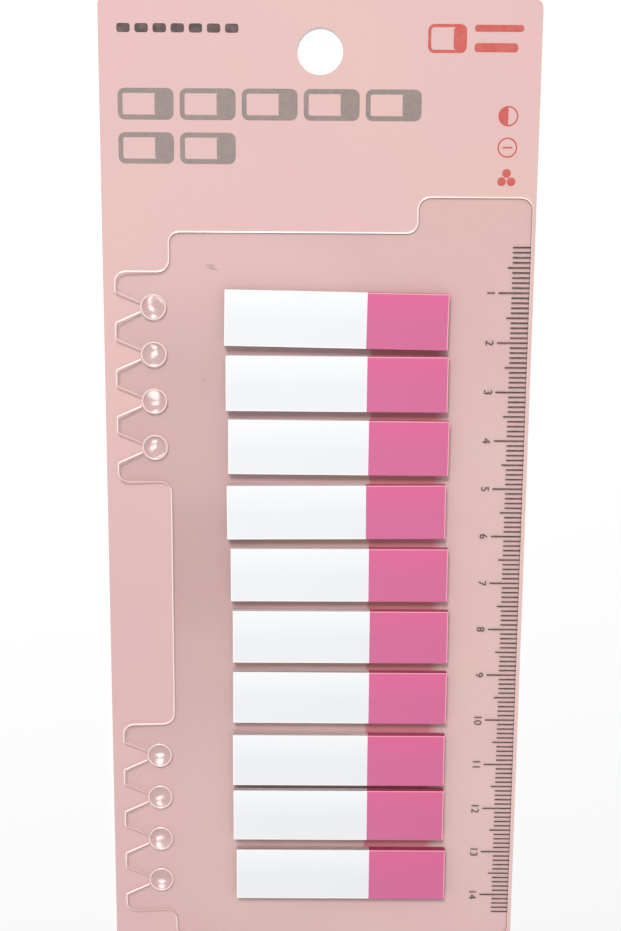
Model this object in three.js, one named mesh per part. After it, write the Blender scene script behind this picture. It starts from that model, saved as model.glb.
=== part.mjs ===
// Sticky index tabs on a hanging card: a paperboard backing card with a hang hole, a clear
// loose-leaf ruler sheet with a toothed ring edge and its die-cut plugs, and ten tab pads
// laid in a column. Millimetres, +Z up, +Y towards the hang hole. The origin is under the
// middle of the card.

import * as THREE from 'three';

// Backing card
const cardWidth = 86;
const cardLength = 200;
const cardThickness = 0.5;
const cardCornerRadius = 1.5;
const hangHoleDiameter = 8.9;
const hangHoleFromTop = 9.9;

// Clear sheet, measured from the card's edges
const sheetThickness = 0.25;
const sheetFromCardRight = 0.5;
const sheetFromCardTop = 37.4;
const sheetLength = 159;
const sheetBodyWidth = 72.45;
const raisedTopWidth = 23;
const raisedTopHeight = 7;
const sheetCornerRadius = 2.5;
const stepRadius = 2;

// Toothed ring edge of the sheet
const toothLength = 10.7;
const toothRadius = 2.2;
const toothTipRadius = 0.5;
const ringFromTip = 7.65;
const ringHoleDiameter = 5.3;
const ringPitch = 9.5;
const ringsPerGroup = 4;
const ringGroupSpacing = 95;
const ringGroupCount = 2;
const firstRingFromSheetTop = 22.05;
const toothEndMargin = 7.2;
const notchMouth = 6.1;
const notchNeck = 1.6;

// Die-cut plugs left in the ring holes
const plugClearance = 0.15;
const plugRimHeight = 0.32;
const plugDishHeight = 0.14;
const plugEdgeRound = 0.12;
const plugRimWidth = 0.5;

// Tab pads
const padLength = 44.7;
const padWidth = 11.2;
const leafCount = 20;
const leafThickness = 0.0875;
const pinkEndLength = 16.3;
const leafGroove = 0.07;
const leafWander = 0.04;
const rippleStep = 2.3;
const rippleSide = 1.7;
const padPitch = 13.2;
const firstPadFromCardTop = 61.6;
const padColumnX = 3.9;
const padColumnLean = 0.9;

// How each pad was laid by hand: shift along X and Y in millimetres, turn in degrees
const padPlacement = [
  { x: -0.2, y: 0, turn: -0.7 },
  { x: -0.2, y: 0.3, turn: 0.1 },
  { x: 0, y: 0.5, turn: 0 },
  { x: -0.5, y: 0.3, turn: 0.3 },
  { x: 0, y: 0.2, turn: 0.4 },
  { x: 0.2, y: 0.1, turn: 0.3 },
  { x: 0, y: 0, turn: 0.2 },
  { x: -0.3, y: -0.7, turn: 0.3 },
  { x: -0.4, y: 0, turn: 0.3 },
  { x: 0, y: -0.3, turn: 0.3 },
];

// Facets on round stretches
const ringSegments = 26;
const filletSegments = 5;
const plugSegments = 28;
const holeSegments = 36;

// Levels and places that follow from the sizes
const sheetLevel = cardThickness;
const padLevel = sheetLevel + sheetThickness;
const padThickness = leafCount * leafThickness;
const sheetRight = cardWidth / 2 - sheetFromCardRight;
const sheetLeft = sheetRight - sheetBodyWidth;
const tipX = sheetLeft - toothLength;
const ringX = tipX + ringFromTip;
const ringHoleRadius = ringHoleDiameter / 2;
const sheetTop = cardLength / 2 - sheetFromCardTop;
const sheetBottom = sheetTop - sheetLength;

const boardPink = new THREE.MeshStandardMaterial({ color: 0xe5c1be, roughness: 0.75, metalness: 0 });
const clearFilm = new THREE.MeshStandardMaterial({
  color: 0xf4e4e2,
  roughness: 0.15,
  metalness: 0,
  transparent: true,
  opacity: 0.3,
});
const padPaper = new THREE.MeshStandardMaterial({
  color: 0xffffff,
  vertexColors: true,
  roughness: 0.6,
  metalness: 0,
});
const leafWhite = new THREE.Color(0xf5f6f8);
const leafPink = new THREE.Color(0xdb709e);

// Edges of a leaf's outline that belong to its pink end
const pinkEdges = [1, 2, 3];

// Points of the arc that rounds one corner of an outline
function filletPoints(before, at, after, radius) {
  if (radius === 0) {
    return [at];
  }
  const toBefore = before.clone().sub(at).normalize();
  const toAfter = after.clone().sub(at).normalize();
  const halfAngle = Math.acos(toBefore.dot(toAfter)) / 2;
  const centre = toBefore.clone().add(toAfter).normalize();
  centre.multiplyScalar(radius / Math.sin(halfAngle)).add(at);
  const start = toBefore.clone().multiplyScalar(radius / Math.tan(halfAngle)).add(at).sub(centre);
  const sweep = -Math.sign(toBefore.cross(toAfter)) * (Math.PI - 2 * halfAngle);
  const points = [];
  for (let step = 0; step <= filletSegments; step += 1) {
    const angle = (sweep * step) / filletSegments;
    points.push(start.clone().rotateAround(new THREE.Vector2(), angle).add(centre));
  }
  return points;
}

// Closed outline through a list of corners, each with its own radius
function roundedShape(corners) {
  const points = corners.flatMap((corner, index) => {
    const before = corners[(index + corners.length - 1) % corners.length];
    const after = corners[(index + 1) % corners.length];
    return filletPoints(before.at, corner.at, after.at, corner.radius);
  });
  return new THREE.Shape(points);
}

function corner(x, y, radius) {
  return { at: new THREE.Vector2(x, y), radius };
}

// One flat layer, from its own zero level upwards
function layer(shape, thickness) {
  const settings = { depth: thickness, bevelEnabled: false, curveSegments: holeSegments };
  return new THREE.ExtrudeGeometry(shape, settings);
}

function piece(name, geometry, material, level) {
  const mesh = new THREE.Mesh(geometry, material);
  mesh.name = name;
  mesh.position.z = level;
  return mesh;
}

function backingCard() {
  const halfWidth = cardWidth / 2;
  const halfLength = cardLength / 2;
  const shape = roundedShape([
    corner(-halfWidth, -halfLength, cardCornerRadius),
    corner(halfWidth, -halfLength, cardCornerRadius),
    corner(halfWidth, halfLength, cardCornerRadius),
    corner(-halfWidth, halfLength, cardCornerRadius),
  ]);
  const hangHole = new THREE.Path();
  hangHole.absarc(0, halfLength - hangHoleFromTop, hangHoleDiameter / 2, 0, 2 * Math.PI, true);
  shape.holes.push(hangHole);
  return piece('backing_card', layer(shape, cardThickness), boardPink, 0);
}

// Centres of the ring holes in one group, from the top down
function ringCentres(group) {
  const firstY = sheetTop - firstRingFromSheetTop - group * ringGroupSpacing;
  return Array.from(
    { length: ringsPerGroup },
    (_, index) => new THREE.Vector2(ringX, firstY - index * ringPitch),
  );
}

// A funnel-shaped notch from the tooth tips into a ring hole, and round that hole
function keyholeNotch(centre) {
  const neckAngle = Math.asin(notchNeck / 2 / ringHoleRadius);
  const start = Math.PI - neckAngle;
  const corners = [corner(tipX, centre.y + notchMouth / 2, toothTipRadius)];
  for (let step = 0; step <= ringSegments; step += 1) {
    const angle = start - (2 * start * step) / ringSegments;
    const x = centre.x + ringHoleRadius * Math.cos(angle);
    const y = centre.y + ringHoleRadius * Math.sin(angle);
    corners.push(corner(x, y, 0));
  }
  corners.push(corner(tipX, centre.y - notchMouth / 2, toothTipRadius));
  return corners;
}

// The teeth of one ring group, from the sheet's left edge and back to it
function toothGroup(group) {
  const centres = ringCentres(group);
  const top = centres[0].y + toothEndMargin;
  const bottom = centres[centres.length - 1].y - toothEndMargin;
  return [
    corner(sheetLeft, top, toothRadius),
    corner(tipX, top, toothRadius),
    ...centres.flatMap(keyholeNotch),
    corner(tipX, bottom, toothRadius),
    corner(sheetLeft, bottom, toothRadius),
  ];
}

function rulerSheet() {
  const stepX = sheetRight - raisedTopWidth;
  const lowerTop = sheetTop - raisedTopHeight;
  const teeth = Array.from({ length: ringGroupCount }, (_, group) => toothGroup(group)).flat();
  const shape = roundedShape([
    corner(sheetLeft, sheetBottom, sheetCornerRadius),
    corner(sheetRight, sheetBottom, sheetCornerRadius),
    corner(sheetRight, sheetTop, sheetCornerRadius),
    corner(stepX, sheetTop, sheetCornerRadius),
    corner(stepX, lowerTop, stepRadius),
    corner(sheetLeft, lowerTop, toothRadius),
    ...teeth,
  ]);
  return piece('ruler_sheet', layer(shape, sheetThickness), clearFilm, sheetLevel);
}

// A thin disc with a raised rim and a dished middle
function plugGeometry() {
  const radius = ringHoleRadius - plugClearance;
  const profile = [
    new THREE.Vector2(0, 0),
    new THREE.Vector2(radius - plugEdgeRound, 0),
    new THREE.Vector2(radius, plugEdgeRound),
    new THREE.Vector2(radius, plugRimHeight - plugEdgeRound),
    new THREE.Vector2(radius - plugEdgeRound, plugRimHeight),
    new THREE.Vector2(radius - plugRimWidth, (plugRimHeight + plugDishHeight) / 2),
    new THREE.Vector2(radius / 2, plugDishHeight),
    new THREE.Vector2(0, plugDishHeight),
  ];
  const geometry = new THREE.LatheGeometry(profile, plugSegments);
  geometry.rotateX(Math.PI / 2);
  return geometry;
}

function holePlugs() {
  const centres = Array.from({ length: ringGroupCount }, (_, group) => ringCentres(group)).flat();
  return centres.map((centre, index) => {
    const plug = piece(`hole_plug_${index + 1}`, plugGeometry(), clearFilm, sheetLevel);
    plug.position.x = centre.x;
    plug.position.y = centre.y;
    return plug;
  });
}

// How far one leaf's edge stands in from the pad's full size: every second leaf lies deeper
function leafInset(leaf, side, pad) {
  const ripple = (1 + Math.sin(leaf * rippleStep + side * rippleSide + pad)) / 2;
  return leaf % 2 === 0 ? leafWander * ripple : leafGroove + leafWander * ripple;
}

// Outline of one leaf from its front left corner, with two extra points where white meets pink
function leafOutline(leaf, pad) {
  const [left, front, right, back] = [0, 1, 2, 3].map((side) => leafInset(leaf, side, pad));
  const boundary = padLength / 2 - pinkEndLength;
  const xs = [left - padLength / 2, boundary, padLength / 2 - right];
  const y = { front: front - padWidth / 2, back: padWidth / 2 - back };
  const near = xs.map((x) => new THREE.Vector2(x, y.front));
  const far = xs.map((x) => new THREE.Vector2(x, y.back));
  return [...near, ...far.reverse()];
}

// A block of leaves, white at its left and pink at its right end, with its leaves' edges showing
function padGeometry(pad) {
  const positions = [];
  const colours = [];
  const quad = (corners, colour) => {
    const [a, b, c, d] = corners;
    for (const point of [a, b, c, a, c, d]) {
      positions.push(point.x, point.y, point.z);
      colours.push(colour.r, colour.g, colour.b);
    }
  };
  const band = (lower, upper) => {
    for (let index = 0; index < lower.length; index += 1) {
      const after = (index + 1) % lower.length;
      const colour = pinkEdges.includes(index) ? leafPink : leafWhite;
      quad([lower[index], lower[after], upper[after], upper[index]], colour);
    }
  };
  const raised = (leaf, height) =>
    leafOutline(leaf, pad).map((point) => new THREE.Vector3(point.x, point.y, height));
  for (let leaf = 0; leaf < leafCount; leaf += 1) {
    const bottom = raised(leaf, leaf * leafThickness);
    const top = raised(leaf, (leaf + 1) * leafThickness);
    if (leaf > 0) {
      band(raised(leaf - 1, leaf * leafThickness), bottom);
    }
    band(bottom, top);
  }
  const floor = raised(0, 0);
  const lid = raised(leafCount - 1, padThickness);
  quad([floor[0], floor[5], floor[4], floor[1]], leafWhite);
  quad([floor[1], floor[4], floor[3], floor[2]], leafPink);
  quad([lid[0], lid[1], lid[4], lid[5]], leafWhite);
  quad([lid[1], lid[2], lid[3], lid[4]], leafPink);
  const geometry = new THREE.BufferGeometry();
  geometry.setAttribute('position', new THREE.Float32BufferAttribute(positions, 3));
  geometry.setAttribute('color', new THREE.Float32BufferAttribute(colours, 3));
  geometry.computeVertexNormals();
  return geometry;
}

function tabPads() {
  const lean = Math.tan(THREE.MathUtils.degToRad(padColumnLean));
  return padPlacement.map((placement, index) => {
    const name = `tab_pad_${String(index + 1).padStart(2, '0')}`;
    const pad = piece(name, padGeometry(index), padPaper, padLevel);
    const down = index * padPitch;
    pad.position.x = padColumnX + lean * down + placement.x;
    pad.position.y = cardLength / 2 - firstPadFromCardTop - down + placement.y;
    pad.rotation.z = THREE.MathUtils.degToRad(placement.turn);
    return pad;
  });
}

const indexTabs = new THREE.Group();
indexTabs.add(backingCard(), rulerSheet(), ...holePlugs(), ...tabPads());

export default indexTabs;
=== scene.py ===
import math
import random

import bmesh
import bpy
from mathutils import Matrix, Vector


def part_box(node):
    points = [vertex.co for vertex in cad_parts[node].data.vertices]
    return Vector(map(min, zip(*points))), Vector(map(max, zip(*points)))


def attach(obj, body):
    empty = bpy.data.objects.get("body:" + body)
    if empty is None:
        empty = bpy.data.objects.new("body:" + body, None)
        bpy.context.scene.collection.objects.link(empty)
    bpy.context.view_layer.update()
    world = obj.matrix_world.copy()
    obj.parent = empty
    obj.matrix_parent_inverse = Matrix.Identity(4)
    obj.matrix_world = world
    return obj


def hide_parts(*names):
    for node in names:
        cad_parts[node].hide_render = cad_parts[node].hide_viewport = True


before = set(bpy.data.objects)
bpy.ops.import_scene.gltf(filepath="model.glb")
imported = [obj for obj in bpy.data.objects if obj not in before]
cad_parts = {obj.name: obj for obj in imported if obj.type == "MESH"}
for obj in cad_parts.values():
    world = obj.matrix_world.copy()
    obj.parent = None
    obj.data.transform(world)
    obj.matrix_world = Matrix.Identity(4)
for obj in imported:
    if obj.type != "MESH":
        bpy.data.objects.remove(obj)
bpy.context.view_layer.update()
SHEET_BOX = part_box("ruler_sheet")

MM = 0.001
DRAWS = random.Random(7)
# Points closer than this are one point, and levels closer than this are one level
SAME_POINT = 0.001 * MM
SAME_LEVEL = 0.01 * MM
# A face looks up when its normal rises by more than this, and by a share of the band in materials
LOOKS_UP = 0.9
LOOKS_UP_BAND = (0.4, 0.6)
# An edge is a diagonal when it runs along both X and Y by more than this share of its length
DIAGONAL_SHARE = 0.05

# Camera, as the photograph was taken: close, above the upper part, tipped a little
IMAGE_HEIGHT = 931
SENSOR_MM = 36.0
FOCAL_PIXELS = 1356.0
CAMERA_FOOT = (-1.65 * MM, 59.5 * MM)
CAMERA_HEIGHT = 273.5 * MM
CAMERA_TILT = math.radians(10.6)
CAMERA_TURN = math.radians(0.37)
CAMERA_NEAR = 10 * MM

# Light
WORLD_STRENGTH = 0.55
KEY = {"where": (-0.2, 0.8, 1.0), "size": 0.36, "power": 10.2}
# Small lights that show only as glints: one for each group of ring holes, where the plugs mirror it
SPARKS = {
    "upper_spark": {"where": (-0.08, -0.02, 0.55), "size": 0.22, "power": 1.0},
    "lower_spark": {"where": (-0.08, -0.3, 0.55), "size": 0.22, "power": 1.0},
}
LIT_POINT = (0, 0.02, 0)
FLOOR_HALF_SIDE = 1.5
FLOOR_GAP = 0.02 * MM

# Noise in the materials: the scale is in waves to a metre
NOISES = {
    "board cloud": {"Scale": 26, "Detail": 3, "Roughness": 0.5},
    "board peach": {"Scale": 17, "Detail": 2, "Roughness": 0.5},
    "board grain": {"Scale": 1500, "Detail": 3, "Roughness": 0.7},
    "film haze": {"Scale": 120, "Detail": 4, "Roughness": 0.6},
    "film waves": {"Scale": 60, "Detail": 2, "Roughness": 0.5},
    "leaf cloud": {"Scale": 90, "Detail": 3, "Roughness": 0.5},
    "leaf grain": {"Scale": 2600, "Detail": 2, "Roughness": 0.6},
    "ink wear": {"Scale": 900, "Detail": 2, "Roughness": 0.5},
    "floor cloud": {"Scale": 3, "Detail": 2, "Roughness": 0.5},
}
# The part of a noise's range that is spread over the range that is wanted
SOFT_NOISE = (0.3, 0.7)
CLEAR_NOISE = (0.35, 0.65)
PATCHY_NOISE = (0.5, 0.7)

# Card: screen colours, and where they pass into each other
BOARD_TONES = {
    "upper": (226, 190, 185),
    "lower left": (222, 184, 182),
    "lower right": (238, 204, 199),
    "cloud": (228, 184, 190),
    "peach": (234, 196, 178),
    "grain": (196, 150, 150),
    "bare": (240, 236, 230),
}
BOARD_FADE_Y = (60 * MM, -20 * MM)
BOARD_FADE_X = (-35 * MM, 35 * MM)
# Ink where it is worn, and the floor's clouds
WORN_INK_TONE = (200, 160, 155)
FLOOR_TONES = ((255, 255, 255), (252, 252, 252))

# Clear film: painted shade makes it a little darker between the teeth and the pads
CLEAR_TONE = (196, 176, 174)
FILM_SHADE_TONE = (130, 108, 106)
FILM_ALPHA = (0.045, 0.075)
FILM_SHADE_FADE_X = (-20 * MM, -10 * MM)
FILM_SHADE_FADE_TOP = (30 * MM, 50 * MM)
FILM_SHADE_FADE_BOTTOM = (-65 * MM, -40 * MM)
FILM_WAVE = 0.05 * MM
# Edges that face this way are painted as catching the light: how far they turn to it, from not at all to
# fully
EDGE_LIGHT = (-0.5, 0.87, 0)
EDGE_LIGHT_BAND = (-0.1, 0.12)

# Clear sheet: its cut edge slopes up in a band with a painted highlight, and a thin line of painted
# shade inside it
RIM_WIDTH = 0.26 * MM
RIM_RISE = 0.1 * MM
SHADE_WIDTH = 0.22 * MM
SHADE_RISE = 0.02 * MM
SHORTEST_EDGE = 0.12 * MM
SHEET_SMOOTH_DEGREES = 10
LIFT_START_X = -18 * MM
LIFT_HEIGHT = 1.0 * MM
LIFT_POWER = 1.6
SHEET_CELL_X = 2 * MM
SHEET_CELL_Y = 8 * MM
AIR_GAP = 0.03 * MM

# Plugs in the ring holes
PLUG_RADIUS = 2.6 * MM
PLUG_DISH = 0.4 * MM
PLUG_WALL = 0.14 * MM
PLUG_LIP = 0.3 * MM
PLUG_LIP_CROWN = 0.1 * MM
PLUG_STEPS = 40
PLUG_RINGS = 12
PLUG_OVAL = 0.35
PLUG_SMOOTH_DEGREES = 50
# Each plug is pressed in its own way: where its glint sits, and which way that glint runs
PLUGS = [
    {"glint_mm": (-0.3, -0.6), "run": math.radians(-45)},
    {"glint_mm": (0.3, 0.3), "run": math.radians(50)},
    {"glint_mm": (0.6, -0.3), "run": math.radians(5)},
    {"glint_mm": (-0.3, 0.4), "run": math.radians(35)},
    {"glint_mm": (0.3, -0.2), "run": math.radians(5)},
    {"glint_mm": (-0.3, -0.4), "run": math.radians(35)},
    {"glint_mm": (-0.4, 0.1), "run": math.radians(25)},
    {"glint_mm": (0.2, -0.5), "run": math.radians(0)},
]

# Pads: a leaf keeps part of the shift of the leaf below it
PADS = 10
LEAVES = 20
LEAF_FILL = 0.8
LEAF_SHIFT = 0.035 * MM
LEAF_SHIFT_KEPT = 0.7
# Painted light makes a leaf grow lighter between these shares of its width, and its clouds keep
# these shares of its red, green and blue
LEAF_PAINTED_LIGHT = (0.45, 0.95)
LEAF_CLOUDED = (0.8, 0.8, 0.85)
PINK_END = 16.3 * MM
# Width of the painted highlight along the top leaf's edges
HIGHLIGHT_BORDER = 0.2 * MM
PAD_TRIM = 0.18 * MM
# Painted shade between the pads, reddened as if by light through their pink ends, and less so near their
# right edge
GAP_PAINTED_SHADE = (0.92, 0.42, 0.5, 1)
GAP_PAINTED_SHADE_START = (0.7 * MM, 1.2 * MM)
GAP_PAINTED_SHADE_FADE = 2.2 * MM

# Ruler printed on the sheet
RULER_ZERO_Y = 53.8 * MM
RULER_CENTIMETRES = 14
RULER_SPARE_TICKS = 4
RULER_TICKS = {"whole": 6.2 * MM, "half": 4.5 * MM, "small": 3.6 * MM}
TICK_WIDTH = 0.27 * MM
INK = 0.01 * MM
NUMERAL_SIZE = 2.3 * MM
NUMERAL_GAP = 1.6 * MM

# Fine marks in the film: place, length and turn
SCRATCHES = [
    (-21.5 * MM, 48.8 * MM, 2.4 * MM, math.radians(-8)),
    (-21.2 * MM, 48.2 * MM, 2.8 * MM, math.radians(-12)),
    (-23.0 * MM, 25.8 * MM, 1.3 * MM, math.radians(-20)),
]
SCRATCH_ARCH = 0.12 * MM
SCRATCH_WIDTH = 0.07 * MM
# A scratch keeps this half-width at its ends
SCRATCH_END = 0.2 * INK
SCRATCH_STEPS = 8

# Print on the card: plain marks where the titles are
ROUND_STEPS = 32
CORNER_STEPS = 5
# A corner's radius as a share of its mark's height, and a filled end as a share of its length
TAB_MARK_CORNER = 0.22
TAB_MARK_END = 0.34
SMALL_CORNER = 0.3
COUNT_BAR_CORNER = 0.4
TITLE_LEFT = -39.4 * MM
TITLE_ROWS = (77.0 * MM, 68.6 * MM)
TITLE_COUNTS = (5, 2)
TITLE_PITCH = 12.1 * MM
TITLE_WIDTH = 10.9 * MM
TITLE_HEIGHT = 6.0 * MM
TITLE_STROKE = 0.95 * MM
SMALL_MARKS = 7
SMALL_PITCH = 3.5 * MM
SMALL_WIDTH = 2.6 * MM
SMALL_HEIGHT = 1.7 * MM
SMALL_BOTTOM = 93.4 * MM
# Left, right, bottom and top
COUNT_MARK = (20.9 * MM, 28.4 * MM, 89.9 * MM, 95.3 * MM)
COUNT_STROKE = 0.6 * MM
COUNT_BARS = [
    (29.9 * MM, 39.4 * MM, 93.9 * MM, 95.2 * MM),
    (29.9 * MM, 38.4 * MM, 90.1 * MM, 91.8 * MM),
]
SIGN_X = 36.9 * MM
SIGN_TOP_Y = 78.1 * MM
SIGN_PITCH = 6.0 * MM
SIGN_RADIUS = 1.95 * MM
SIGN_STROKE = 0.3 * MM
# Shares of a sign's radius: half the bar's length, the grouped discs' places and their radius
SIGN_BAR_REACH = 0.5
SIGN_GROUP_REACH = 0.55
SIGN_GROUP_RADIUS = 0.44
SIGN_GROUP_TURNS = (90, 210, 330)


def srgb(red, green, blue):
    """A screen colour, 0 to 255, as the linear colour that shaders take."""
    def linear(value):
        value /= 255
        return value / 12.92 if value <= 0.04045 else ((value + 0.055) / 1.055) ** 2.4
    return (linear(red), linear(green), linear(blue), 1.0)


# Materials

def new_material(name):
    made = bpy.data.materials.new(name)
    made.use_nodes = True
    return made, made.node_tree, made.node_tree.nodes["Principled BSDF"]


def add(tree, kind, **values):
    """Adds a node and sets its inputs by name, or links them where the value is a socket."""
    node = tree.nodes.new(kind)
    for name, value in values.items():
        socket = node.inputs[name.replace("_", " ")]
        if isinstance(value, bpy.types.NodeSocket):
            tree.links.new(value, socket)
        else:
            socket.default_value = value
    return node


def place(tree):
    """The place on the object, in its own metres."""
    return tree.nodes.new("ShaderNodeTexCoord").outputs["Object"]


def noise(tree, kind):
    return add(tree, "ShaderNodeTexNoise", Vector=place(tree), **NOISES[kind]).outputs["Fac"]


def remap(tree, value, low, high, to_low, to_high):
    """Spreads a value's range over another range, and holds it there."""
    node = tree.nodes.new("ShaderNodeMapRange")
    tree.links.new(value, node.inputs["Value"])
    node.inputs["From Min"].default_value = low
    node.inputs["From Max"].default_value = high
    node.inputs["To Min"].default_value = to_low
    node.inputs["To Max"].default_value = to_high
    return node.outputs["Result"]


def mix(tree, share, first, second, blend="MIX"):
    node = tree.nodes.new("ShaderNodeMix")
    node.data_type = "RGBA"
    node.blend_type = blend
    for index, value in ((0, share), (6, first), (7, second)):
        if isinstance(value, bpy.types.NodeSocket):
            tree.links.new(value, node.inputs[index])
        else:
            node.inputs[index].default_value = value
    return node.outputs[2]


def product(tree, first, second):
    node = tree.nodes.new("ShaderNodeMath")
    node.operation = "MULTIPLY"
    tree.links.new(first, node.inputs[0])
    tree.links.new(second, node.inputs[1])
    return node.outputs[0]


def bump(tree, shader, height, distance, strength):
    node = add(tree, "ShaderNodeBump", Height=height, Distance=distance, Strength=strength)
    tree.links.new(node.outputs["Normal"], shader.inputs["Normal"])


def facing_up(tree):
    """1 on faces that look up, 0 on walls and undersides."""
    normal = tree.nodes.new("ShaderNodeTexCoord").outputs["Normal"]
    parts = add(tree, "ShaderNodeSeparateXYZ", Vector=normal)
    return remap(tree, parts.outputs["Z"], *LOOKS_UP_BAND, 0, 1)


def pad_node(number):
    return f"tab_pad_{number:02d}"


def pink_gaps(tree, spot):
    """Where the painted shade goes: 1 between the pads' pink ends, and 0 elsewhere."""
    first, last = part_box(pad_node(1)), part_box(pad_node(PADS))
    right = first[1].x
    left = right - PINK_END
    above = (first[0].y + first[1].y) / 2
    below = (last[0].y + last[1].y) / 2
    start = remap(tree, spot.outputs["X"], *(left + inset for inset in GAP_PAINTED_SHADE_START), 0, 1)
    end = remap(tree, spot.outputs["X"], right - GAP_PAINTED_SHADE_FADE, right, 1, 0)
    top = remap(tree, spot.outputs["Y"], above, above + MM, 1, 0)
    bottom = remap(tree, spot.outputs["Y"], below - MM, below, 0, 1)
    return product(tree, product(tree, start, end), product(tree, top, bottom))


def board_material():
    made, tree, shader = new_material("printed_board")
    tone = {name: srgb(*colour) for name, colour in BOARD_TONES.items()}
    spot = add(tree, "ShaderNodeSeparateXYZ", Vector=place(tree))
    down = remap(tree, spot.outputs["Y"], *BOARD_FADE_Y, 0, 1)
    right = remap(tree, spot.outputs["X"], *BOARD_FADE_X, 0, 1)
    base = mix(tree, down, tone["upper"], mix(tree, right, tone["lower left"], tone["lower right"]))
    cloud = remap(tree, noise(tree, "board cloud"), *CLEAR_NOISE, 0, 0.5)
    base = mix(tree, cloud, base, tone["cloud"])
    peach = remap(tree, noise(tree, "board peach"), *PATCHY_NOISE, 0, 0.45)
    base = mix(tree, peach, base, tone["peach"])
    grain = noise(tree, "board grain")
    base = mix(tree, remap(tree, grain, *SOFT_NOISE, 0, 0.08), base, tone["grain"])
    # Painted shade between the pads, reddened as if by light through their pink ends
    base = mix(tree, pink_gaps(tree, spot), base, GAP_PAINTED_SHADE, "MULTIPLY")
    base = mix(tree, facing_up(tree), tone["bare"], base)
    tree.links.new(base, shader.inputs["Base Color"])
    shader.inputs["Roughness"].default_value = 0.62
    shader.inputs["Specular IOR Level"].default_value = 0.25
    bump(tree, shader, grain, distance=0.012 * MM, strength=0.5)
    return made


def sheet_material():
    """The sheet's film: nearly clear, with painted shade making it darker between the teeth and the
    pads.
    """
    made, tree, shader = new_material("clear_film")
    spot = add(tree, "ShaderNodeSeparateXYZ", Vector=place(tree))
    across = remap(tree, spot.outputs["X"], *FILM_SHADE_FADE_X, 1, 0)
    top = remap(tree, spot.outputs["Y"], *FILM_SHADE_FADE_TOP, 1, 0)
    bottom = remap(tree, spot.outputs["Y"], *FILM_SHADE_FADE_BOTTOM, 0, 1)
    # Painted shade: the film is darker and less clear in this band
    painted_shade = product(tree, across, product(tree, top, bottom))
    colour = mix(tree, painted_shade, srgb(*CLEAR_TONE), srgb(*FILM_SHADE_TONE))
    tree.links.new(colour, shader.inputs["Base Color"])
    tree.links.new(remap(tree, painted_shade, 0, 1, *FILM_ALPHA), shader.inputs["Alpha"])
    shader.inputs["Roughness"].default_value = 0.1
    bump(tree, shader, noise(tree, "film waves"), FILM_WAVE, strength=0.3)
    return made


def film_material(name, colour, least, most, roughness, gloss=0.5, ior=1.49):
    """Clear film: a thin veil of colour whose strength varies a little, with a glossy face."""
    made, tree, shader = new_material(name)
    haze = noise(tree, "film haze")
    tree.links.new(remap(tree, haze, *SOFT_NOISE, least, most), shader.inputs["Alpha"])
    shader.inputs["Base Color"].default_value = colour
    shader.inputs["Roughness"].default_value = roughness
    shader.inputs["Specular IOR Level"].default_value = gloss
    shader.inputs["IOR"].default_value = ior
    bump(tree, shader, noise(tree, "film waves"), FILM_WAVE, strength=0.3)
    return made


def towards_light(tree):
    """1 on edges that face the upper left, where the light comes from, and 0 on the others."""
    geometry = tree.nodes.new("ShaderNodeNewGeometry")
    dot = tree.nodes.new("ShaderNodeVectorMath")
    dot.operation = "DOT_PRODUCT"
    tree.links.new(geometry.outputs["True Normal"], dot.inputs[0])
    dot.inputs[1].default_value = EDGE_LIGHT
    return remap(tree, dot.outputs["Value"], *EDGE_LIGHT_BAND, 0, 1)


def edge_material(name, lit, unlit, least, most):
    """The film's cut edge, with light painted in: strong where it faces the light, faint elsewhere."""
    made, tree, shader = new_material(name)
    share = towards_light(tree)
    tree.links.new(mix(tree, share, unlit, lit), shader.inputs["Base Color"])
    tree.links.new(remap(tree, share, 0, 1, least, most), shader.inputs["Alpha"])
    shader.inputs["Roughness"].default_value = 0.25
    return made


def leaf_material(name, upper, face, edge):
    """A leaf with painted light making it a little lighter at its upper side, and a darker cut edge that
    is partly painted shade.
    """
    made, tree, shader = new_material(name)
    cloud = remap(tree, noise(tree, "leaf cloud"), *SOFT_NOISE, 0, 0.05)
    grain = noise(tree, "leaf grain")
    shares = tree.nodes.new("ShaderNodeTexCoord").outputs["Generated"]
    height = add(tree, "ShaderNodeSeparateXYZ", Vector=shares).outputs["Y"]
    clouded = (*(part * share for part, share in zip(face, LEAF_CLOUDED)), 1)
    tint = mix(tree, cloud, face, clouded)
    # Painted light: the leaf grows lighter towards its upper side
    tint = mix(tree, remap(tree, height, *LEAF_PAINTED_LIGHT, 0, 1), tint, upper)
    # The walls take the edge colour, which is partly painted shade
    colour = mix(tree, facing_up(tree), edge, tint)
    tree.links.new(colour, shader.inputs["Base Color"])
    tree.links.new(remap(tree, grain, *SOFT_NOISE, 0.42, 0.55), shader.inputs["Roughness"])
    shader.inputs["Specular IOR Level"].default_value = 0.25
    bump(tree, shader, grain, distance=0.004 * MM, strength=0.4)
    return made


def ink_material(name, colour):
    made, tree, shader = new_material(name)
    wear = remap(tree, noise(tree, "ink wear"), *CLEAR_NOISE, 0, 0.15)
    tree.links.new(mix(tree, wear, colour, srgb(*WORN_INK_TONE)), shader.inputs["Base Color"])
    shader.inputs["Roughness"].default_value = 0.5
    return made


def floor_material():
    made, tree, shader = new_material("floor")
    cloud = remap(tree, noise(tree, "floor cloud"), *SOFT_NOISE, 0, 1)
    colour = mix(tree, cloud, *(srgb(*tone) for tone in FLOOR_TONES))
    tree.links.new(colour, shader.inputs["Base Color"])
    shader.inputs["Roughness"].default_value = 0.9
    return made


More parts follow.
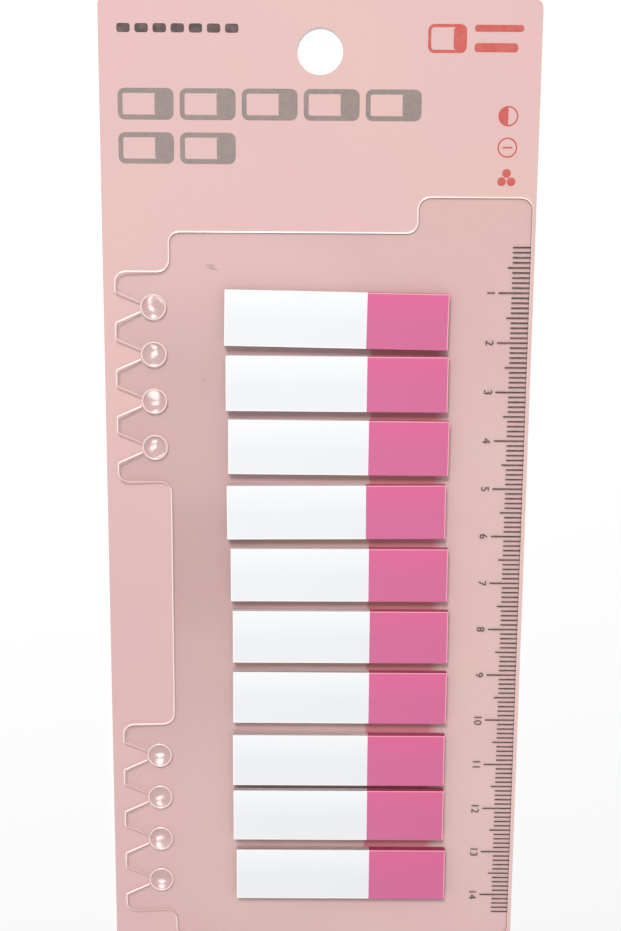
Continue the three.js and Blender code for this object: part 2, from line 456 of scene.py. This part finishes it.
BOARD = board_material()
FILM = sheet_material()
# Painted highlight along the film's cut edge, brightest where it faces the light
RIM_HIGHLIGHT = edge_material(
    "film_edge", lit=srgb(253, 237, 232), unlit=srgb(252, 222, 214), least=0.85, most=0.95
)
# Painted shade: a thin dark line inside the edge's highlight
SHADE = edge_material(
    "film_edge_shade", lit=srgb(132, 92, 90), unlit=srgb(176, 134, 130), least=0.35, most=0.55
)
# Painted highlight: the plugs' lips are a bright, nearly opaque ring
LIP_HIGHLIGHT = film_material("plug_lip_highlight", srgb(255, 236, 232), least=0.75, most=0.85, roughness=0.25)
DISH = film_material(
    "plug_film", srgb(232, 200, 197), least=0.38, most=0.45, roughness=0.2, gloss=1.0, ior=1.9
)
# Cut edges of the leaves: partly their own darker tone, partly painted shade of the narrow gaps between
# the pads
WHITE_EDGE_AND_SHADE = srgb(150, 104, 98)
PINK_EDGE_AND_SHADE = srgb(138, 24, 44)
# Painted highlights along the pads' top edges
WHITE_HIGHLIGHT_TONE = srgb(255, 254, 252)
PINK_HIGHLIGHT_TONE = srgb(250, 168, 188)
# Each leaf's first tone is painted light on its upper side
WHITE_LEAF = leaf_material("white_leaf", srgb(246, 247, 249), srgb(238, 239, 241), WHITE_EDGE_AND_SHADE)
WHITE_LEAF_HIGHLIGHT = leaf_material("white_leaf_highlight", WHITE_HIGHLIGHT_TONE, WHITE_HIGHLIGHT_TONE, WHITE_EDGE_AND_SHADE)
PINK_LEAF = leaf_material("pink_leaf", srgb(222, 102, 150), srgb(213, 106, 152), PINK_EDGE_AND_SHADE)
PINK_LEAF_HIGHLIGHT = leaf_material("pink_leaf_highlight", PINK_HIGHLIGHT_TONE, PINK_HIGHLIGHT_TONE, PINK_EDGE_AND_SHADE)
RULER_INK = ink_material("ruler_ink", srgb(40, 18, 18))
TITLE_INK = ink_material("title_ink", srgb(139, 125, 120))
RED_INK = ink_material("red_ink", srgb(205, 76, 66))
DARK_INK = ink_material("dark_ink", srgb(58, 40, 40))


# Pieces

def finish_piece(name, mesh, materials, smooth_angle=None):
    """Turns a mesh that has been built into an object that rides with the part."""
    data = bpy.data.meshes.new(name)
    bmesh.ops.recalc_face_normals(mesh, faces=mesh.faces)
    mesh.to_mesh(data)
    mesh.free()
    for entry in materials:
        data.materials.append(entry)
    if smooth_angle is not None:
        data.shade_smooth()
        data.set_sharp_from_angle(angle=math.radians(smooth_angle))
    piece = bpy.data.objects.new(name, data)
    bpy.context.scene.collection.objects.link(piece)
    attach(piece, "root")
    return piece


def merged_mesh(node):
    """A CAD piece's mesh, with the points of its separate faces merged."""
    mesh = bmesh.new()
    mesh.from_mesh(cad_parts[node].data)
    bmesh.ops.remove_doubles(mesh, verts=mesh.verts, dist=SAME_POINT)
    return mesh


def top_outline(node):
    """The outline of a flat CAD piece's upper face, point by point."""
    mesh = merged_mesh(node)
    upper = {face for face in mesh.faces if face.normal.z > LOOKS_UP}
    beside = {}
    for edge in mesh.edges:
        if sum(face in upper for face in edge.link_faces) == 1:
            first, second = edge.verts
            beside.setdefault(first, []).append(second)
            beside.setdefault(second, []).append(first)
    start = next(iter(beside))
    path = [start, beside[start][0]]
    while True:
        ahead = next(v for v in beside[path[-1]] if v != path[-2])
        if ahead == start:
            break
        path.append(ahead)
    points = [(v.co.x, v.co.y) for v in path]
    mesh.free()
    return points


def lift_at(x):
    """How far the sheet stands off the card: nothing at the pads, most at the tooth tips."""
    share = min(max((LIFT_START_X - x) / (LIFT_START_X - SHEET_BOX[0].x), 0), 1)
    return LIFT_HEIGHT * share ** LIFT_POWER


def cut_in_cells(mesh, low, high, size, axis):
    """Cuts a mesh by evenly spaced planes, so that it can bend."""
    direction = Vector((0, 0, 0))
    direction[axis] = 1
    for step in range(1, int((high - low) / size) + 1):
        everything = mesh.verts[:] + mesh.edges[:] + mesh.faces[:]
        point = direction * (low + step * size)
        bmesh.ops.bisect_plane(mesh, geom=everything, plane_co=point, plane_no=direction)


def clear_sheet():
    low, high = SHEET_BOX
    outline = top_outline("ruler_sheet")
    floor_level = low.z + AIR_GAP
    mesh = bmesh.new()
    upper = [mesh.verts.new((x, y, high.z - RIM_RISE - SHADE_RISE)) for x, y in outline]
    lower = [mesh.verts.new((x, y, floor_level)) for x, y in outline]
    mesh.faces.new(upper)
    # The edge's painted highlight is the second material, and the painted shade line inside it the third
    for width, rise, index in ((RIM_WIDTH, RIM_RISE, 1), (SHADE_WIDTH, SHADE_RISE, 2)):
        face = max(mesh.faces, key=lambda face: len(face.verts))
        face.normal_update()
        depth = rise if face.normal.z > 0 else -rise
        inset = bmesh.ops.inset_region(
            mesh, faces=[face], thickness=width, depth=depth, use_even_offset=True, use_boundary=True
        )
        for strip in inset["faces"]:
            strip.material_index = index
        bmesh.ops.remove_doubles(mesh, verts=list(face.verts), dist=SHORTEST_EDGE)
    mesh.faces.new(lower)
    # The walls carry the painted edge highlight too
    for index, start in enumerate(lower):
        following = (index + 1) % len(lower)
        wall = mesh.faces.new((start, lower[following], upper[following], upper[index]))
        wall.material_index = 1
    clear_ring_holes(mesh)
    bmesh.ops.triangulate(mesh, faces=[face for face in mesh.faces if len(face.verts) > 4])
    cut_in_cells(mesh, low.x, LIFT_START_X, SHEET_CELL_X, axis=0)
    cut_in_cells(mesh, low.y, high.y, SHEET_CELL_Y, axis=1)
    for vertex in mesh.verts:
        vertex.co.z += lift_at(vertex.co.x)
    piece = finish_piece("clear_sheet", mesh, [FILM, RIM_HIGHLIGHT, SHADE], SHEET_SMOOTH_DEGREES)
    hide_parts("ruler_sheet")


def clear_ring_holes(mesh):
    """Leaves the edge clear round the ring holes, where only the plugs' own lips carry a painted
    highlight.
    """
    reach = PLUG_RADIUS + 2 * RIM_WIDTH
    numbers = range(1, len(PLUGS) + 1)
    centres = [sum(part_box(f"hole_plug_{number}"), Vector()) / 2 for number in numbers]
    for face in mesh.faces:
        middle = face.calc_center_median().xy
        if any((middle - centre.xy).length < reach for centre in centres):
            face.material_index = 0


def dish_shape(plug):
    """Height of a plug's face below its lip, as a function of the place on it.

    The dish is a bowl that is flatter along one direction, and it leans so that its face is
    level at the glint. Towards the lip the lean fades out.
    """
    bowl = PLUG_RADIUS - PLUG_LIP
    depth = PLUG_DISH / bowl ** 2
    along = Vector((math.cos(plug["run"]), math.sin(plug["run"])))
    across = Vector((-along.y, along.x))
    glint = Vector(plug["glint_mm"]) * MM
    oval = PLUG_OVAL * (glint.dot(across) * across - glint.dot(along) * along)
    lean = -2 * depth * (glint + oval)

    def height(point):
        fade = 1 - (point.length / bowl) ** 2
        oval_part = PLUG_OVAL * depth * (point.dot(across) ** 2 - point.dot(along) ** 2)
        return fade * (lean.dot(point) + oval_part - PLUG_DISH)

    return height


def plug_mesh(dish):
    """A dished disc of film with a raised lip, its lip's underside at zero level."""
    mesh = bmesh.new()
    bowl = PLUG_RADIUS - PLUG_LIP
    for lift in (PLUG_WALL, 0):
        middle = mesh.verts.new((0, 0, lift + dish(Vector((0, 0)))))
        rings = []
        for ring in range(1, PLUG_RINGS + 1):
            radius = bowl * ring / PLUG_RINGS
            rings.append(spun(mesh, radius, lambda point: lift + dish(point)))
        # The dish's upper face has its own film, and its underside is clear
        for face in fan(mesh, middle, rings):
            face.material_index = 0 if lift else 2
        if lift:
            crown = spun(mesh, PLUG_RADIUS - PLUG_LIP / 2, lambda point: lift + PLUG_LIP_CROWN)
            rim = spun(mesh, PLUG_RADIUS, lambda point: lift)
            foot = spun(mesh, PLUG_RADIUS, lambda point: 0)
            lip = band(mesh, rings[-1], crown) + band(mesh, crown, rim) + band(mesh, rim, foot)
        else:
            lip += band(mesh, rings[-1], foot)
    # The lip gets the plugs' painted highlight
    for face in lip:
        face.material_index = 1
    return mesh


def spun(mesh, radius, height):
    """One ring of points round the middle."""
    ring = []
    for step in range(PLUG_STEPS):
        angle = 2 * math.pi * step / PLUG_STEPS
        point = Vector((radius * math.cos(angle), radius * math.sin(angle)))
        ring.append(mesh.verts.new((*point, height(point))))
    return ring


def band(mesh, inner, outer):
    """Faces between two rings of points."""
    made = []
    for index, start in enumerate(inner):
        after = (index + 1) % len(inner)
        made.append(mesh.faces.new((start, inner[after], outer[after], outer[index])))
    return made


def fan(mesh, middle, rings):
    """Faces from a middle point out through the rings."""
    made = []
    for index, start in enumerate(rings[0]):
        after = (index + 1) % len(rings[0])
        made.append(mesh.faces.new((middle, start, rings[0][after])))
    for inner, outer in zip(rings, rings[1:]):
        made += band(mesh, inner, outer)
    return made


def plugs():
    for number, plug in enumerate(PLUGS, start=1):
        node = f"hole_plug_{number}"
        low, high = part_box(node)
        centre = (low + high) / 2
        mesh = plug_mesh(dish_shape(plug))
        deepest = min(vertex.co.z for vertex in mesh.verts)
        level = low.z + max(lift_at(centre.x), AIR_GAP - deepest)
        mesh.transform(Matrix.Translation((centre.x, centre.y, level)))
        piece = finish_piece(f"plug_{number}", mesh, [DISH, LIP_HIGHLIGHT, FILM], PLUG_SMOOTH_DEGREES)
        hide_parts(node)


def pad_frame(node):
    """Middle, turn, length, width, lowest and highest level of a pad."""
    mesh = merged_mesh(node)
    flat = [edge for edge in mesh.edges if edge_is_level(edge) and not edge_is_diagonal(edge)]
    side = max(flat, key=lambda edge: edge.calc_length())
    run = side.verts[1].co - side.verts[0].co
    turn = math.atan2(run.y, run.x)
    turn = (turn + math.pi / 2) % math.pi - math.pi / 2
    along = Vector((math.cos(turn), math.sin(turn), 0))
    across = Vector((-along.y, along.x, 0))
    lengths = [vertex.co.dot(along) for vertex in mesh.verts]
    widths = [vertex.co.dot(across) for vertex in mesh.verts]
    mesh.free()
    low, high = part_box(node)
    return (low + high) / 2, turn, max(lengths) - min(lengths), max(widths) - min(widths), low.z, high.z


def edge_is_level(edge):
    return abs(edge.verts[0].co.z - edge.verts[1].co.z) < SAME_LEVEL


def edge_is_diagonal(edge):
    """True for the edge that splits a flat face in two triangles."""
    run = edge.verts[1].co - edge.verts[0].co
    return min(abs(run.x), abs(run.y)) > DIAGONAL_SHARE * edge.calc_length()


def leaf(mesh, corners, boundary, low, high):
    """One thin leaf, white up to the boundary and pink beyond it. Gives its two upper faces."""
    left, right, front, back = corners
    section = ((front, low), (back, low), (back, high), (front, high))
    columns, sides = [], []
    for x in (left, boundary, right):
        columns.append([mesh.verts.new((x, y, z)) for y, z in section])
    for index, (first, second) in enumerate(zip(columns, columns[1:])):
        for corner in range(len(section)):
            after = (corner + 1) % len(section)
            face = mesh.faces.new((first[corner], first[after], second[after], second[corner]))
            face.material_index = index
            sides.append(face)
    mesh.faces.new(columns[0])
    mesh.faces.new(columns[2]).material_index = 1
    return [face for face in sides if face.calc_center_median().z > high - INK]


def pads():
    for number in range(1, PADS + 1):
        node = pad_node(number)
        middle, turn, length, width, low, high = pad_frame(node)
        pitch = (high - low) / LEAVES
        mesh = bmesh.new()
        shift = Vector((0, 0))
        for index in range(LEAVES):
            shift.x = LEAF_SHIFT_KEPT * shift.x + DRAWS.uniform(-LEAF_SHIFT, LEAF_SHIFT)
            shift.y = LEAF_SHIFT_KEPT * shift.y + DRAWS.uniform(-LEAF_SHIFT, LEAF_SHIFT)
            corners = (
                shift.x - length / 2,
                shift.x + length / 2,
                shift.y - width / 2,
                shift.y + width / 2 - PAD_TRIM,
            )
            boundary = shift.x + length / 2 - PINK_END
            bottom = low + index * pitch
            tops = leaf(mesh, corners, boundary, bottom, bottom + pitch * (LEAF_FILL if index else 1))
        for face in tops:
            face.normal_update()
        inset = bmesh.ops.inset_region(mesh, faces=tops, thickness=HIGHLIGHT_BORDER, use_even_offset=True)
        # Each colour's painted highlight border is two materials on, and the pink's lower side has none
        for face in inset["faces"]:
            lower_side = face.calc_center_median().y < corners[2] + HIGHLIGHT_BORDER
            if face.material_index == 0 or not lower_side:
                face.material_index += 2
        spot = Matrix.Translation((middle.x, middle.y, 0)) @ Matrix.Rotation(turn, 4, "Z")
        mesh.transform(spot)
        leaves = [WHITE_LEAF, PINK_LEAF, WHITE_LEAF_HIGHLIGHT, PINK_LEAF_HIGHLIGHT]
        piece = finish_piece(f"pad_{number:02d}", mesh, leaves)
        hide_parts(node)


# Print

def flat_shape(mesh, points, level):
    """A printed patch with a hair of thickness."""
    lower = [mesh.verts.new((x, y, level)) for x, y in points]
    upper = [mesh.verts.new((x, y, level + INK)) for x, y in points]
    mesh.faces.new(lower)
    mesh.faces.new(upper)
    for index, start in enumerate(lower):
        after = (index + 1) % len(lower)
        mesh.faces.new((start, lower[after], upper[after], upper[index]))


def rectangle(left, right, bottom, top):
    return [(left, bottom), (right, bottom), (right, top), (left, top)]


def ruler():
    """A tick for every millimetre, and a number for every centimetre."""
    corner = SHEET_BOX[1]
    edge = corner.x - RIM_WIDTH
    level = corner.z + INK
    mesh = bmesh.new()
    for tick in range(1, RULER_CENTIMETRES * 10 + RULER_SPARE_TICKS + 1):
        kind = "whole" if tick % 10 == 0 else "half" if tick % 5 == 0 else "small"
        y = RULER_ZERO_Y - tick * MM
        start = edge - RULER_TICKS[kind]
        flat_shape(mesh, rectangle(start, edge, y - TICK_WIDTH / 2, y + TICK_WIDTH / 2), level)
    finish_piece("ruler_ticks", mesh, [RULER_INK])
    mesh = bmesh.new()
    for number in range(1, RULER_CENTIMETRES + 1):
        x = edge - RULER_TICKS["whole"] - NUMERAL_GAP
        y = RULER_ZERO_Y - number * 10 * MM
        numeral(mesh, str(number), Vector((x, y, level)))
    finish_piece("ruler_numbers", mesh, [RULER_INK])


def numeral(mesh, text, middle):
    """Adds a plain number, turned to read down the sheet."""
    curve = bpy.data.curves.new("numeral", "FONT")
    curve.body = text
    curve.size = NUMERAL_SIZE
    curve.align_x = "CENTER"
    curve.align_y = "CENTER"
    curve.extrude = INK / 2
    made = bpy.data.objects.new("numeral", curve)
    flat = bpy.data.meshes.new_from_object(made)
    flat.transform(Matrix.Translation(middle) @ Matrix.Rotation(-math.pi / 2, 4, "Z"))
    mesh.from_mesh(flat)
    bpy.data.objects.remove(made)
    bpy.data.meshes.remove(flat)


def disc(middle, radius, start=0.0, sweep=2 * math.pi):
    """Points of a disc, or of a slice of one."""
    x, y = middle
    turns = [start + sweep * step / ROUND_STEPS for step in range(ROUND_STEPS + 1)]
    points = [(x + radius * math.cos(turn), y + radius * math.sin(turn)) for turn in turns]
    return points[:-1] if sweep >= 2 * math.pi else points


def rounded(left, right, bottom, top, radius):
    """Points of a rectangle with round corners."""
    centres = [(right - radius, top - radius), (left + radius, top - radius)]
    centres += [(left + radius, bottom + radius), (right - radius, bottom + radius)]
    points = []
    for quarter, (x, y) in enumerate(centres):
        for step in range(CORNER_STEPS + 1):
            turn = math.pi / 2 * (quarter + step / CORNER_STEPS)
            points.append((x + radius * math.cos(turn), y + radius * math.sin(turn)))
    return points


def outline_shape(mesh, outer, inner, level):
    """A printed line between two outlines with as many points."""
    for index in range(len(outer)):
        after = (index + 1) % len(outer)
        flat_shape(mesh, (outer[index], outer[after], inner[after], inner[index]), level)


def tab_mark(mesh, left, right, bottom, top, stroke, level):
    """The outline of a tab with its coloured end filled in."""
    corner = (top - bottom) * TAB_MARK_CORNER
    outer = rounded(left, right, bottom, top, corner)
    inner = rounded(left + stroke, right - stroke, bottom + stroke, top - stroke, corner - stroke)
    outline_shape(mesh, outer, inner, level)
    end = right - (right - left) * TAB_MARK_END
    flat_shape(mesh, rounded(end, right - stroke, bottom + stroke, top - stroke, corner - stroke), level)


def card_print():
    """Plain marks in the places of the card's print: tabs instead of titles, and three round signs."""
    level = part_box("backing_card")[1].z + INK
    title = bmesh.new()
    for row, count in zip(TITLE_ROWS, TITLE_COUNTS):
        for index in range(count):
            left = TITLE_LEFT + index * TITLE_PITCH
            tab_mark(title, left, left + TITLE_WIDTH, row, row + TITLE_HEIGHT, TITLE_STROKE, level)
    finish_piece("title_marks", title, [TITLE_INK])
    small = bmesh.new()
    corner = SMALL_HEIGHT * SMALL_CORNER
    for index in range(SMALL_MARKS):
        left = TITLE_LEFT + index * SMALL_PITCH
        bar = rounded(left, left + SMALL_WIDTH, SMALL_BOTTOM, SMALL_BOTTOM + SMALL_HEIGHT, corner)
        flat_shape(small, bar, level)
    finish_piece("small_marks", small, [DARK_INK])
    red = bmesh.new()
    tab_mark(red, *COUNT_MARK, COUNT_STROKE, level)
    for left, right, bottom, top in COUNT_BARS:
        corner = (top - bottom) * COUNT_BAR_CORNER
        flat_shape(red, rounded(left, right, bottom, top, corner), level)
    round_signs(red, level)
    finish_piece("red_marks", red, [RED_INK])


def round_signs(mesh, level):
    """A half-filled disc, a ring with a bar across it, and three discs in a group."""
    half, ring, group = ((SIGN_X, SIGN_TOP_Y - index * SIGN_PITCH) for index in range(3))
    outline_shape(mesh, disc(half, SIGN_RADIUS), disc(half, SIGN_RADIUS - SIGN_STROKE), level)
    flat_shape(mesh, disc(half, SIGN_RADIUS - SIGN_STROKE, math.pi / 2, math.pi), level)
    outline_shape(mesh, disc(ring, SIGN_RADIUS), disc(ring, SIGN_RADIUS - SIGN_STROKE), level)
    reach = SIGN_RADIUS * SIGN_BAR_REACH
    x, y = ring
    bar = rectangle(x - reach, x + reach, y - SIGN_STROKE / 2, y + SIGN_STROKE / 2)
    flat_shape(mesh, bar, level)
    for turn in SIGN_GROUP_TURNS:
        angle = math.radians(turn)
        x = group[0] + SIGN_RADIUS * SIGN_GROUP_REACH * math.cos(angle)
        y = group[1] + SIGN_RADIUS * SIGN_GROUP_REACH * math.sin(angle)
        flat_shape(mesh, disc((x, y), SIGN_RADIUS * SIGN_GROUP_RADIUS), level)


def scratches():
    """A few fine curved marks in the film."""
    level = SHEET_BOX[1].z + INK
    mesh = bmesh.new()
    for x, y, length, turn in SCRATCHES:
        middle = Vector((x, y))
        along = Vector((math.cos(turn), math.sin(turn)))
        across = Vector((-along.y, along.x))
        upper, lower = [], []
        for step in range(SCRATCH_STEPS + 1):
            share = 2 * step / SCRATCH_STEPS - 1
            arch = middle + along * length / 2 * share + across * SCRATCH_ARCH * (1 - share ** 2)
            thick = across * SCRATCH_WIDTH / 2 * (1 - share ** 2)
            upper.append(tuple(arch + thick + across * SCRATCH_END))
            lower.append(tuple(arch - thick - across * SCRATCH_END))
        flat_shape(mesh, upper + lower[::-1], level)
    finish_piece("scratches", mesh, [RULER_INK])


# Light, camera and floor

def area_light(name, settings):
    light = bpy.data.lights.new(name, "AREA")
    light.shape = "DISK"
    light.size = settings["size"]
    light.energy = settings["power"]
    made = bpy.data.objects.new(name, light)
    made.location = settings["where"]
    aim = Vector(LIT_POINT) - made.location
    made.rotation_euler = aim.to_track_quat("-Z", "Y").to_euler()
    bpy.context.scene.collection.objects.link(made)
    return made


def studio():
    scene = bpy.context.scene
    scene.view_settings.view_transform = "Standard"
    world = bpy.data.worlds.new("studio")
    world.use_nodes = True
    world.node_tree.nodes["Background"].inputs["Color"].default_value = (1, 1, 1, 1)
    world.node_tree.nodes["Background"].inputs["Strength"].default_value = WORLD_STRENGTH
    scene.world = world
    area_light("key", KEY)
    for name, settings in SPARKS.items():
        area_light(name, settings).visible_diffuse = False
    camera = bpy.data.cameras.new("camera")
    camera.sensor_width = SENSOR_MM
    camera.lens = FOCAL_PIXELS * SENSOR_MM / IMAGE_HEIGHT
    camera.clip_start = CAMERA_NEAR
    made = bpy.data.objects.new("camera", camera)
    made.location = (*CAMERA_FOOT, CAMERA_HEIGHT)
    made.rotation_euler = (-CAMERA_TILT, 0, CAMERA_TURN)
    scene.collection.objects.link(made)
    scene.camera = made


def floor():
    mesh = bmesh.new()
    bmesh.ops.create_grid(mesh, x_segments=2, y_segments=2, size=FLOOR_HALF_SIDE)
    data = bpy.data.meshes.new("floor")
    mesh.to_mesh(data)
    mesh.free()
    data.materials.append(floor_material())
    made = bpy.data.objects.new("floor", data)
    made.location.z = -FLOOR_GAP
    bpy.context.scene.collection.objects.link(made)


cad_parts["backing_card"].data.materials.clear()
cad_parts["backing_card"].data.materials.append(BOARD)
clear_sheet()
plugs()
pads()
ruler()
scratches()
card_print()
studio()
floor()
